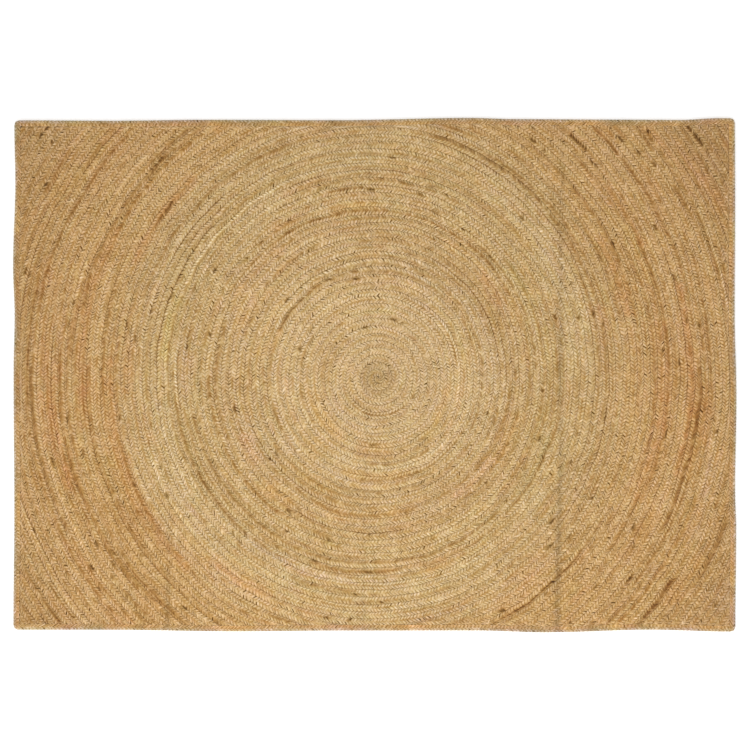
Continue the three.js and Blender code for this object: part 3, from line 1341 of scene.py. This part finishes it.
def new_group(
    name: str, inputs: dict[str, str], outputs: dict[str, str],
) -> tuple[bpy.types.NodeTree, NodeSheet]:
    """Starts a shader node group.

    Args:
        name: The group's name.
        inputs: Its inputs, as name and socket type.
        outputs: Its outputs, likewise.

    Returns:
        The group and a sheet to fill it.
    """
    tree = bpy.data.node_groups.new(name, "ShaderNodeTree")
    for key, kind in inputs.items():
        tree.interface.new_socket(key, in_out="INPUT", socket_type=kind)
    for key, kind in outputs.items():
        tree.interface.new_socket(key, in_out="OUTPUT", socket_type=kind)
    return tree, NodeSheet(tree)


class Grain(NamedTuple):
    """A layer of noise: the size of its patches along the rows of strands and out from the middle.

    Place is where in the noise it is read, light its weight in the lightness, and raised its weight
    in the height.
    """

    along: float
    out: float
    place: float
    light: float
    raised: float = 0.0


@dataclass(frozen=True)
class JuteTones:
    """Node group: the colour of jute strands, from their maps and attributes. Colours are linear.

    Grooves, pits and fold creases get painted shade. Shadow is how much the painted shade of the
    grooves darkens red, green and blue. Names that end in light, warm, blue or raised are weights in
    the sums that build() makes, and so are the painted shade of pits and of folds. Places differ, so
    that no two layers of noise look the same.
    """

    base: tuple[float, float, float]
    shadow: tuple[float, float, float] = (0.68, 1.0, 1.9)
    fibres: Grain = Grain(0.9 * MM, 9 * MM, 0.0, 0.14, 0.5)
    locks: Grain = Grain(2.4 * MM, 14 * MM, 3.1, 0.12, 0.6)
    mottle: Grain = Grain(2.2 * MM, 2.2 * MM, 5.5, 0.11, 0.2)
    drift: Grain = Grain(45 * MM, 1.0, 11.7, 0.04)
    strand_apart: float = 7.3
    uneven_light: float = 0.10
    # Painted shade in the pits.
    painted_pit_shade: float = -1.2
    # Painted shade along the fold creases.
    painted_fold_shade: float = -0.30
    fine_warm: float = -0.22
    fine_blue: float = 0.75
    patch_shape: float = 0.35
    patch_places: tuple[float, float, float] = (21.3, 33.9, 48.1)
    patch_light: float = 0.05
    patch_light_warm: float = -0.02
    patch_blue: float = 2.4
    below_step: float = 8 * MM
    below_lean: float = 0.5
    below_dip: float = 0.7
    below_middle: float = 2 * MM
    below_raised: float = -2.5
    roughness: float = 0.86
    fibre_roughness: float = 0.06

    def dips_below(self, sheet: NodeSheet, along: Socket, across: Socket) -> Socket:
        """The dips between the strands of the flat underside.

        Like those on top, they part two rows that lie half a step apart and lean to both sides. A
        dip is where the sine of pi times the share of a step is low, and along the middle. The share
        gives the underside painted shade, and sinks it as a bump.

        Args:
            sheet: The group's sheet.
            along: The way along the braid.
            across: The way across it.

        Returns:
            A share from 0 to 1.
        """
        out = sheet.math("ABSOLUTE", across)
        left = sheet.math("LESS_THAN", across, 0.0)
        leaned = sheet.math("DIVIDE", sheet.total(along, (out, self.below_lean)), self.below_step)
        share = sheet.math("FRACT", sheet.total(leaned, (left, 0.5)))
        hump = sheet.math("SINE", sheet.math("MULTIPLY", share, math.pi))
        middle = sheet.fade(out, self.below_middle)
        return sheet.math("MAXIMUM", sheet.fade(hump, self.below_dip), middle)

    def build(self) -> bpy.types.NodeTree:
        """Makes the group.

        The colour is the base times the exponentials of lightness plus warmth in red, lightness in
        green, and lightness plus blueness in blue. Each is a sum of the strands' own change, noise
        along single strands, and noise over short patches, with painted shade in pits and fold creases,
        less the painted shade of the grooves. Darker fibres and patches are warmer too, and the painted
        shade of the grooves darkens blue most and red least. On the underside a pattern of dips, also
        sunk as a bump, gives that painted shade instead.

        Returns:
            The group, which puts out Color, Roughness and Height.
        """
        number = "NodeSocketFloat"
        names = ("Patch Size", "Patch Colour", "Fibre Contrast", "Painted Groove Shade")
        kinds = {"Color": "NodeSocketColor", "Roughness": number, "Height": number}
        tree, sheet = new_group("jute tones", dict.fromkeys(names, number), kinds)
        given = tree.nodes.new("NodeGroupInput").outputs
        size, colour, fibre_contrast, painted_groove_shade_strength = (given[name] for name in names)
        lay_x, lay_y, run_x, run_y = (
            way for name in ("lay", "run")
            for way in sheet.split(sheet.node("ShaderNodeUVMap", uv_map=name).outputs[0])[:2]
        )
        tone, strand, below, painted_groove_shade, pit, fold_shade_share, light, warm, blue, contrast = (
            sheet.node("ShaderNodeAttribute", attribute_name=name).outputs["Fac"]
            for name in ("tone", "strand", "below", "painted_groove_shade", "pit", "fold_shade_share", *COLOUR_KEYS)
        )

        def noise(
            x: Socket, along: Value, y: Socket, out: Value, at: Value, detail: float = 0.0,
        ) -> Socket:
            """Noise with patches of one size along x and of another along y."""
            shares = (sheet.math("DIVIDE", way, patch) for way, patch in ((x, along), (y, out)))
            return sheet.noise(sheet.joined(*shares, at), detail)

        own = (strand, self.strand_apart)
        fibres, locks, mottle, drift = self.fibres, self.locks, self.mottle, self.drift
        fibre = noise(lay_x, fibres.along, lay_y, fibres.out, sheet.total(own, fibres.place), 2.0)
        lock = noise(lay_x, locks.along, lay_y, locks.out, sheet.total(own, locks.place))
        speckle = noise(run_x, mottle.along, run_y, mottle.out, mottle.place)
        drifting = noise(run_x, drift.along, run_y, drift.out, sheet.total(own, drift.place))
        narrow = sheet.math("MULTIPLY", size, self.patch_shape)
        patch_light, patch_warm, patch_blue = (
            noise(run_x, size, run_y, narrow, place) for place in self.patch_places
        )

        # On the underside, a pattern of dips gives the painted shade of the grooves.
        dip = sheet.math("MULTIPLY", self.dips_below(sheet, run_x, run_y), below)
        painted_groove_shade = sheet.total((painted_groove_shade, sheet.math("SUBTRACT", 1.0, below)), dip)
        uneven = sheet.math("SUBTRACT", tone, 0.5)
        plain = sheet.total(
            (fibre, fibres.light), (lock, locks.light), (speckle, mottle.light),
            (uneven, self.uneven_light),
        )
        strength = sheet.math("MULTIPLY", contrast, fibre_contrast)
        # Pits get painted shade.
        fine = sheet.total((plain, strength), (pit, self.painted_pit_shade))
        # Fold creases get painted shade.
        lightness = sheet.total(
            fine, light, (drifting, drift.light), (patch_light, self.patch_light),
            (fold_shade_share, self.painted_fold_shade),
        )
        warmth = sheet.total(
            warm, (patch_warm, colour), (patch_light, self.patch_light_warm), (fine, self.fine_warm),
        )
        blue_weight = sheet.math("MULTIPLY", colour, self.patch_blue)
        blueness = sheet.total(blue, (patch_blue, blue_weight), (fine, self.fine_blue))
        # Painted shade of the grooves, by the strands' contrast and the finish's strength.
        dark = sheet.math("MULTIPLY", sheet.math("MULTIPLY", painted_groove_shade, contrast), painted_groove_shade_strength)
        powers = (
            sheet.total(lightness, change, (dark, -deep))
            for change, deep in zip((warmth, 0.0, blueness), self.shadow)
        )
        parts = (
            sheet.math("MULTIPLY", sheet.math("EXPONENT", power), amount)
            for power, amount in zip(powers, self.base)
        )
        results = {
            "Color": sheet.joined(*parts),
            "Roughness": sheet.total((fibre, self.fibre_roughness), self.roughness),
            "Height": sheet.total(
                (fibre, fibres.raised), (lock, locks.raised), (speckle, mottle.raised),
                (dip, self.below_raised),
            ),
        }
        sheet.node("NodeGroupOutput", results)
        return tree


@dataclass(frozen=True)
class JuteFinish:
    """A finish of matt jute braid."""

    name: str
    patch_size: float
    patch_colour: float
    fibre_contrast: float
    # How strongly the grooves get painted shade.
    painted_groove_shade_strength: float
    bump: float = 0.5 * MM
    sheen: float = 0.06
    sheen_roughness: float = 0.5
    shine: float = 0.25

    def build(self) -> bpy.types.Material:
        """Makes the material: jute tones on a rough surface with fibres raised on it.

        Returns:
            The material.
        """
        material = bpy.data.materials.new(self.name)
        material.use_nodes = True
        sheet = NodeSheet(material.node_tree)
        shader = material.node_tree.nodes["Principled BSDF"]
        tones = sheet.group(bpy.data.node_groups["jute tones"], {
            "Patch Size": self.patch_size,
            "Patch Colour": self.patch_colour,
            "Fibre Contrast": self.fibre_contrast,
            "Painted Groove Shade": self.painted_groove_shade_strength,
        }).outputs
        relief = {"Height": tones["Height"], "Distance": self.bump, "Strength": 1.0}
        raised = sheet.node("ShaderNodeBump", relief)
        sheet.feed(shader.inputs["Base Color"], tones["Color"])
        sheet.feed(shader.inputs["Roughness"], tones["Roughness"])
        sheet.feed(shader.inputs["Normal"], raised.outputs["Normal"])
        shader.inputs["Specular IOR Level"].default_value = self.shine
        shader.inputs["Sheen Weight"].default_value = self.sheen
        shader.inputs["Sheen Roughness"].default_value = self.sheen_roughness
        return material


def show(mesh: bpy.types.Mesh, name: str) -> bpy.types.Object:
    """Puts a mesh into the scene as an object at the origin.

    Args:
        mesh: The mesh.
        name: The object's name.

    Returns:
        The object.
    """
    piece = bpy.data.objects.new(name, mesh)
    bpy.context.scene.collection.objects.link(piece)
    return piece


@dataclass(frozen=True)
class Field:
    """The wound field of the rug, in rings of turns that are parted along the seams."""

    winding: Winding
    form: BraidForm = FIELD_BRAID
    rings: tuple[str, ...] = (
        "field_middle_turns", "field_inner_turns", "field_outer_turns", "field_side_turns",
        "field_corner_turns",
    )
    heart_start: float = 0.25
    shortest: float = 12 * MM
    seed: int = 100

    def parting_turns(self) -> list[float]:
        """The whole turns that part the rings, so that each holds about the same length of braid.

        Returns:
            One more turn than there are rings.
        """
        last = math.ceil(math.hypot(LENGTH, WIDTH) / 2 / self.winding.pitch) + 1
        turns = np.arange(1, last + 1)
        wound = np.array(
            [sum(b - a for a, b in self.winding.stretches(0.0, float(turn))) for turn in turns]
        )
        shares = np.arange(1, len(self.rings)) / len(self.rings) * wound[-1]
        inner = [float(turns[np.argmin(np.abs(wound - share))]) for share in shares]
        return [0.0, *inner, float(last)]

    def build(self, finish: bpy.types.Material) -> list[bpy.types.Object]:
        """Makes and dresses the rings.

        Args:
            finish: The field's material.

        Returns:
            One piece for each ring.
        """
        turns = self.parting_turns()
        pieces = []
        for ring, (name, first, last) in enumerate(zip(self.rings, turns, turns[1:])):
            skin = BraidSkin(self.form, seed=self.seed + ring)
            if ring == 0:
                heart = WindingHeart(self.winding)
                skin.add(heart, heart.length(self.heart_start), heart.length(1.0), cut=(True, False))
            for start, end in self.winding.stretches(first, last):
                if end - start > self.shortest:
                    cut = (start > self.winding.length_to(first), end < self.winding.length_to(last))
                    skin.add(self.winding, start, end, cut)
            piece = show(skin.mesh(name), name)
            piece.data.materials.append(finish)
            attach(piece, "root")
            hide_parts("field")
            report(piece, skin)
            pieces.append(piece)
        return pieces


@dataclass(frozen=True)
class EdgeBraid:
    """The braid that binds the rug's cut edge."""

    course: EdgeCourse
    form: BraidForm = BINDING_BRAID
    seed: int = 7

    def build(self, finish: bpy.types.Material) -> bpy.types.Object:
        """Makes and dresses the binding.

        Args:
            finish: The binding's material.

        Returns:
            The piece.
        """
        skin = BraidSkin(self.form, self.seed)
        skin.add(self.course, 0.0, self.course.length())
        piece = show(skin.mesh("binding_braid"), "binding_braid")
        piece.data.materials.append(finish)
        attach(piece, "root")
        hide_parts("edge_braid")
        self.course.length()
        report(piece, skin)
        return piece


def report(piece: bpy.types.Object, skin: BraidSkin) -> None:
    """Logs what a piece holds."""
    triangles = int(np.sum(np.concatenate(skin.face_values["size"]) - 2))
    LOG.info("%s: %.2f m of braid, %d steps, %d triangles", piece.name, skin.wound, skin.steps, triangles)


@dataclass(frozen=True)
class Studio:
    """The pale floor, the soft light and the camera."""

    view_width: float = 1.7656
    lens: float = 85.0
    sensor: float = 36.0
    camera_x: float = 0.7 * MM
    camera_y: float = 0.6 * MM
    floor_half: float = 6.0
    floor_below: float = 0.1 * MM
    floor_colour: tuple[float, float, float, float] = (0.96, 0.96, 0.96, 1.0)
    floor_roughness: float = 0.9
    floor_shine: float = 0.1
    air: float = 1.0
    side_light: float = 0.70
    side_angle: float = 25
    side_place: tuple[float, float, float] = (-2.6, -0.9, 2.4)
    front_light: float = 46.0
    front_size: tuple[float, float] = (3.0, 0.8)
    front_place: tuple[float, float, float] = (0.0, -2.4, 1.8)

    def floor(self) -> None:
        """Lays a pale matt floor just under the rug."""
        half, low = self.floor_half, -self.floor_below
        mesh = bpy.data.meshes.new("floor")
        corners = [(-half, -half, low), (half, -half, low), (half, half, low), (-half, half, low)]
        mesh.from_pydata(corners, [], [(0, 1, 2, 3)])
        material = bpy.data.materials.new("pale floor")
        material.use_nodes = True
        shader = material.node_tree.nodes["Principled BSDF"]
        shader.inputs["Base Color"].default_value = self.floor_colour
        shader.inputs["Roughness"].default_value = self.floor_roughness
        shader.inputs["Specular IOR Level"].default_value = self.floor_shine
        mesh.materials.append(material)
        show(mesh, "floor")

    def light(self) -> None:
        """Lights the rug softly from all round, and more from its left side and its front edge."""
        world = bpy.data.worlds.new("studio air")
        world.use_nodes = True
        air = world.node_tree.nodes["Background"]
        air.inputs["Color"].default_value = (1.0, 1.0, 1.0, 1.0)
        air.inputs["Strength"].default_value = self.air
        bpy.context.scene.world = world
        side = bpy.data.lights.new("side light", "SUN")
        side.energy = self.side_light
        side.angle = math.radians(self.side_angle)
        self.hang(side, self.side_place)
        lamp = bpy.data.lights.new("front light", "AREA")
        lamp.shape = "RECTANGLE"
        lamp.size, lamp.size_y = self.front_size
        lamp.energy = self.front_light
        self.hang(lamp, self.front_place)

    def hang(self, lamp: bpy.types.Light, place: tuple[float, float, float]) -> None:
        """Hangs a lamp at a place, turned to the rug's middle.

        Args:
            lamp: The lamp.
            place: Where it hangs.
        """
        x, y, z = place
        holder = bpy.data.objects.new(lamp.name, lamp)
        holder.location = place
        tilt = math.atan2(math.hypot(x, y), z)
        holder.rotation_euler = (tilt, 0.0, math.atan2(-y, -x) - math.pi / 2)
        bpy.context.scene.collection.objects.link(holder)

    def camera(self) -> None:
        """Hangs the camera straight above the rug, with the top of the picture towards +Y."""
        data = bpy.data.cameras.new("camera")
        data.sensor_width = self.sensor
        data.lens = self.lens
        eye = bpy.data.objects.new("camera", data)
        height = self.view_width * self.lens / self.sensor + CREST_HEIGHT
        eye.location = (self.camera_x, self.camera_y, height)
        bpy.context.scene.collection.objects.link(eye)
        bpy.context.scene.camera = eye

    def build(self) -> None:
        """Makes the floor, the light and the camera."""
        self.floor()
        self.light()
        self.camera()
        bpy.context.scene.view_settings.view_transform = "Standard"


def main() -> None:
    """Builds the studio, the finishes, the field and its binding, in that order."""
    logging.basicConfig(level=logging.INFO, format="%(name)s: %(message)s")
    Studio().build()
    JuteTones(base=(0.544, 0.399, 0.218)).build()
    # The last number of each finish is how strongly its grooves get painted shade.
    field_finish = JuteFinish("field jute", 32 * MM, 0.022, 0.95, 0.59).build()
    binding_finish = JuteFinish("binding jute", 32 * MM, 0.022, 1.3, 0.58).build()
    edge = EdgeWaves()
    Field(Winding(edge)).build(field_finish)
    EdgeBraid(EdgeCourse(edge)).build(binding_finish)


if __name__ == "__main__":
    main()
